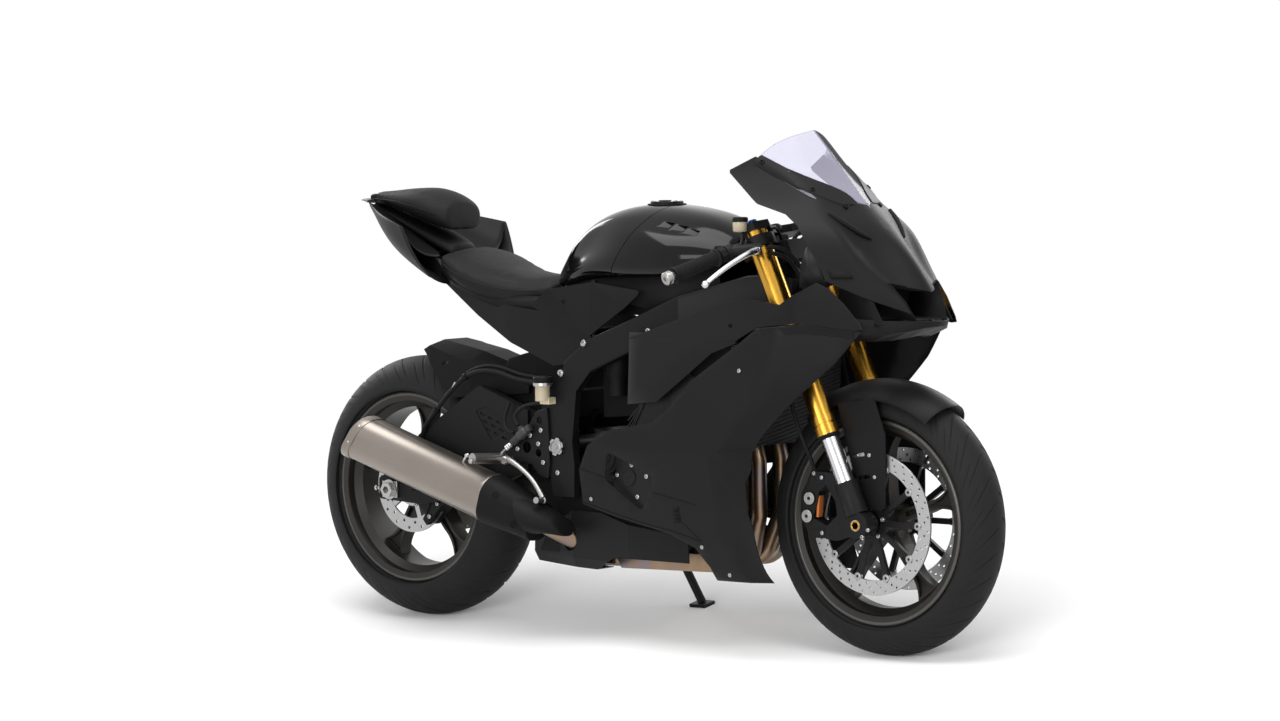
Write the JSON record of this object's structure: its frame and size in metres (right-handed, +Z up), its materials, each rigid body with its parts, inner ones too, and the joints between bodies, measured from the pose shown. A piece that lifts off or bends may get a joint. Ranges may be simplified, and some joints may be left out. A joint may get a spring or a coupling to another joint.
{
  "type": "sport motorcycle",
  "caption": "Faired sport motorcycle leaning on its side stand, with turning wheels, steering, folding stand and hinged fuel cap.",
  "frame": {"origin": "on the ground under the middle of the bounding box", "axes": "+X forward, +Y to the machine's left, +Z up; the machine leans 10 degrees to its left on the side stand"},
  "size_m": [1.9899, 0.7072, 1.1515],
  "materials": {
    "alloy_silver": "bead blasted",
    "axle_steel": "machined",
    "carrier_black": "black anodised",
    "cast_black": "black coated casting",
    "chain_steel": "oiled",
    "disc_steel": "ground steel with drilled holes",
    "engine_metal": "dark cast metal",
    "exhaust_titanium": "brushed, warm tint",
    "fairing_gloss": "gloss black",
    "fairing_matte": "matte charcoal",
    "fork_chrome": "hard chrome",
    "fork_gold": "gold anodised",
    "frame_black": "satin black",
    "grip_rubber": "ribbed",
    "header_steel": "heat coloured",
    "lever_alloy": "polished",
    "radiator_core": "black fins",
    "reservoir_amber": "translucent",
    "screen_clear": "tinted clear polycarbonate",
    "seat_cover": "matte black synthetic leather",
    "tank_gloss": "gloss black",
    "trim_black": "grained black",
    "tyre_rubber": "fine grained rubber",
    "wheel_paint": "satin dark bronze-grey"
  },
  "bodies": {
    "chassis": {"airbox": "trim_black", "airbox_cover": "fairing_gloss", "belly_pan": "fairing_matte", "brake_reservoir": "reservoir_amber", "chin_panel": "trim_black", "drive_chain": "chain_steel", "engine_block": "engine_metal", "engine_covers": "engine_metal", "exhaust_headers": "header_steel", "fairing_stays": "cast_black", "footrests": "alloy_silver", "front_sprocket": "chain_steel", "fuel_tank": "tank_gloss", "instrument_panel": "trim_black", "main_frame": "frame_black", "mid_panels": "fairing_gloss", "nose_cowl": "fairing_matte", "pivot_bolt": "axle_steel", "radiator": "radiator_core", "rear_axle": "axle_steel", "rear_caliper": "cast_black", "rear_hugger": "trim_black", "rear_seat_pad": "seat_cover", "rear_shock": "cast_black", "rider_seat": "seat_cover", "side_panels": "fairing_matte", "silencer": "exhaust_titanium", "silencer_cover": "trim_black", "stand_bracket": "cast_black", "subframe": "frame_black", "swingarm": "frame_black", "tail_cowl": "fairing_matte", "tank_side_covers": "trim_black", "upper_panels": "fairing_gloss", "windscreen": "screen_clear"},
    "steering": {"fork_outer_tubes": "fork_gold", "fork_inner_tubes": "fork_chrome", "fork_bottoms": "cast_black", "front_axle": "axle_steel", "triple_clamps": "cast_black", "handlebars": "cast_black", "grips": "grip_rubber", "levers": "lever_alloy", "front_fender": "fairing_matte", "front_calipers": "cast_black", "brake_hoses": "grip_rubber"},
    "front_wheel": {"front_tyre": "tyre_rubber", "front_rim": "wheel_paint", "front_discs": "disc_steel", "front_disc_carriers": "carrier_black"},
    "rear_wheel": {"rear_tyre": "tyre_rubber", "rear_rim": "wheel_paint", "rear_disc": "disc_steel", "rear_sprocket": "chain_steel"},
    "stand": {"side_stand": "cast_black"},
    "fuel_lid": {"fuel_cap": "cast_black"}
  },
  "joints": [
    {"name": "steering_turn", "type": "hinge", "parent": "chassis", "child": "steering", "pos_m": [0.50201, -0.03441, 0.64291], "axis": [-0.4064, 0.1586, 0.8998], "range_deg": [-27, 27]},
    {"name": "front_wheel_spin", "type": "hinge", "parent": "steering", "child": "front_wheel", "pos_m": [0.6951, -0.09551, 0.29636], "axis": [-0.0001, 0.9848, -0.1736], "continuous": true},
    {"name": "rear_wheel_spin", "type": "hinge", "parent": "chassis", "child": "rear_wheel", "pos_m": [-0.67989, -0.0929, 0.31161], "axis": [-0.0001, 0.9848, -0.1736], "continuous": true},
    {"name": "side_stand_fold", "type": "hinge", "parent": "chassis", "child": "stand", "pos_m": [-0.10442, 0.06241, 0.23629], "axis": [0.1339, 0.9799, 0.1478], "range_deg": [0, 95]},
    {"name": "fuel_cap_open", "type": "hinge", "parent": "chassis", "child": "fuel_lid", "pos_m": [0.10984, 0.02657, 0.98888], "axis": [-0.0001, 0.9848, -0.1736], "range_deg": [0, 100]}
  ]
}
